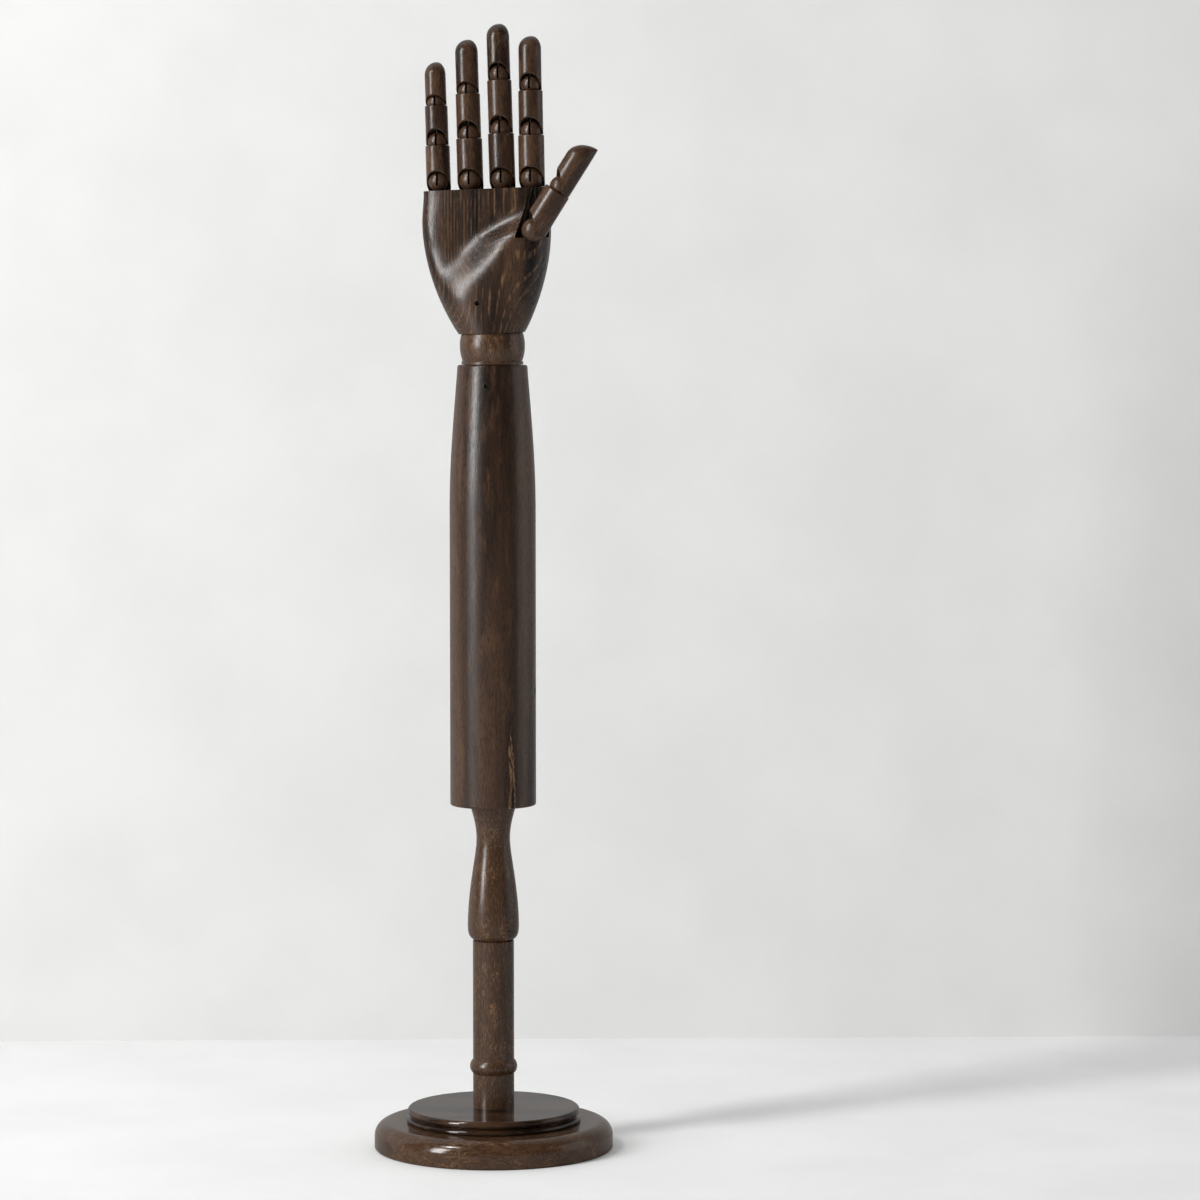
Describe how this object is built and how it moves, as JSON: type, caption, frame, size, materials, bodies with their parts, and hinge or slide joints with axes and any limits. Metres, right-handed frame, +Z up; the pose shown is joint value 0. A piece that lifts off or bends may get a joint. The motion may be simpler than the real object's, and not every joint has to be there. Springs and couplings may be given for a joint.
{
  "type": "wooden hand mannequin",
  "caption": "Posable right hand of dark stained wood with hinged fingers and thumb on a wrist ball, standing on a turned forearm, post and round base.",
  "frame": {"origin": "centre of the base's underside, on the axis of the post and forearm", "axes": "+Z up along the post and forearm; -Y is the side that the palm faces; +X is the thumb's side"},
  "size_m": [0.145, 0.145, 0.6801],
  "materials": {
    "walnut": "dark walnut stain under satin lacquer",
    "steel": "plain drawn wire and sheet"
  },
  "bodies": {
    "stand": {"base_plinth": "walnut", "base_cap": "walnut", "base_screw": "steel", "stand_post": "walnut", "forearm": "walnut", "forearm_pin": "steel", "lock_screw": "steel"},
    "wrist": {"wrist_ball": "walnut", "wrist_spring": "steel"},
    "hand": {"palm": "walnut", "palm_pin": "steel", "knuckle_balls": "walnut", "knuckle_pins": "steel"},
    "little_proximal": {"little_proximal": "walnut", "little_proximal_link": "steel", "little_proximal_ball": "walnut", "little_proximal_pin": "steel"},
    "little_middle": {"little_middle": "walnut", "little_middle_link": "steel", "little_middle_ball": "walnut", "little_middle_pin": "steel"},
    "little_distal": {"little_distal": "walnut", "little_distal_link": "steel"},
    "ring_proximal": {"ring_proximal": "walnut", "ring_proximal_link": "steel", "ring_proximal_ball": "walnut", "ring_proximal_pin": "steel"},
    "ring_middle": {"ring_middle": "walnut", "ring_middle_link": "steel", "ring_middle_ball": "walnut", "ring_middle_pin": "steel"},
    "ring_distal": {"ring_distal": "walnut", "ring_distal_link": "steel"},
    "middle_proximal": {"middle_proximal": "walnut", "middle_proximal_link": "steel", "middle_proximal_ball": "walnut", "middle_proximal_pin": "steel"},
    "middle_middle": {"middle_middle": "walnut", "middle_middle_link": "steel", "middle_middle_ball": "walnut", "middle_middle_pin": "steel"},
    "middle_distal": {"middle_distal": "walnut", "middle_distal_link": "steel"},
    "index_proximal": {"index_proximal": "walnut", "index_proximal_link": "steel", "index_proximal_ball": "walnut", "index_proximal_pin": "steel"},
    "index_middle": {"index_middle": "walnut", "index_middle_link": "steel", "index_middle_ball": "walnut", "index_middle_pin": "steel"},
    "index_distal": {"index_distal": "walnut", "index_distal_link": "steel"},
    "thumb_proximal": {"thumb_proximal": "walnut", "thumb_proximal_link": "steel", "thumb_proximal_ball": "walnut", "thumb_proximal_pin": "steel"},
    "thumb_distal": {"thumb_distal": "walnut", "thumb_distal_link": "steel"}
  },
  "joints": [
    {"name": "wrist_turn", "type": "hinge", "parent": "stand", "child": "wrist", "pos_m": [0, 0, 0.4866], "axis": [0, 0, 1], "range_deg": [-90, 90], "deforming": ["wrist_spring"]},
    {"name": "wrist_bend", "type": "hinge", "parent": "wrist", "child": "hand", "pos_m": [0, 0, 0.4866], "axis": [0.9994, 0, 0.0349], "range_deg": [-20, 20], "deforming": ["wrist_spring"]},
    {"name": "little_knuckle", "type": "hinge", "parent": "hand", "child": "little_proximal", "pos_m": [-0.03259, 0, 0.58612], "axis": [0.9995, 0, 0.0314], "range_deg": [0, 75]},
    {"name": "little_middle_joint", "type": "hinge", "parent": "little_proximal", "child": "little_middle", "pos_m": [-0.03334, 0, 0.60981], "axis": [0.9995, 0, 0.0314], "range_deg": [0, 62]},
    {"name": "little_tip_joint", "type": "hinge", "parent": "little_middle", "child": "little_distal", "pos_m": [-0.03407, 0, 0.6331], "axis": [0.9995, 0, 0.0314], "range_deg": [0, 50]},
    {"name": "ring_knuckle", "type": "hinge", "parent": "hand", "child": "ring_proximal", "pos_m": [-0.0132, 0, 0.5868], "axis": [0.9996, 0, 0.0297], "range_deg": [0, 75]},
    {"name": "ring_middle_joint", "type": "hinge", "parent": "ring_proximal", "child": "ring_middle", "pos_m": [-0.01401, 0, 0.61399], "axis": [0.9996, 0, 0.0297], "range_deg": [0, 62]},
    {"name": "ring_tip_joint", "type": "hinge", "parent": "ring_middle", "child": "ring_distal", "pos_m": [-0.01479, 0, 0.64018], "axis": [0.9996, 0, 0.0297], "range_deg": [0, 50]},
    {"name": "middle_knuckle", "type": "hinge", "parent": "hand", "child": "middle_proximal", "pos_m": [0.00628, 0, 0.58748], "axis": [0.9995, 0, 0.0314], "range_deg": [0, 75]},
    {"name": "middle_middle_joint", "type": "hinge", "parent": "middle_proximal", "child": "middle_middle", "pos_m": [0.00536, 0, 0.61697], "axis": [0.9995, 0, 0.0314], "range_deg": [0, 62]},
    {"name": "middle_tip_joint", "type": "hinge", "parent": "middle_middle", "child": "middle_distal", "pos_m": [0.00432, 0, 0.64985], "axis": [0.9995, 0, 0.0314], "range_deg": [0, 55]},
    {"name": "index_knuckle", "type": "hinge", "parent": "hand", "child": "index_proximal", "pos_m": [0.02417, 0, 0.58811], "axis": [0.9999, 0, 0.0157], "range_deg": [0, 75]},
    {"name": "index_middle_joint", "type": "hinge", "parent": "index_proximal", "child": "index_middle", "pos_m": [0.02374, 0, 0.6158], "axis": [0.9999, 0, 0.0157], "range_deg": [0, 62]},
    {"name": "index_tip_joint", "type": "hinge", "parent": "index_middle", "child": "index_distal", "pos_m": [0.0233, 0, 0.6435], "axis": [0.9999, 0, 0.0157], "range_deg": [0, 55]},
    {"name": "thumb_knuckle", "type": "hinge", "parent": "hand", "child": "thumb_proximal", "pos_m": [0.02737, -0.0142, 0.5566], "axis": [-0.356, 0.9063, 0.2277], "range_deg": [-30, 0]},
    {"name": "thumb_tip_joint", "type": "hinge", "parent": "thumb_proximal", "child": "thumb_distal", "pos_m": [0.04381, -0.0142, 0.58229], "axis": [-0.356, 0.9063, 0.2277], "range_deg": [-50, 0]}
  ]
}
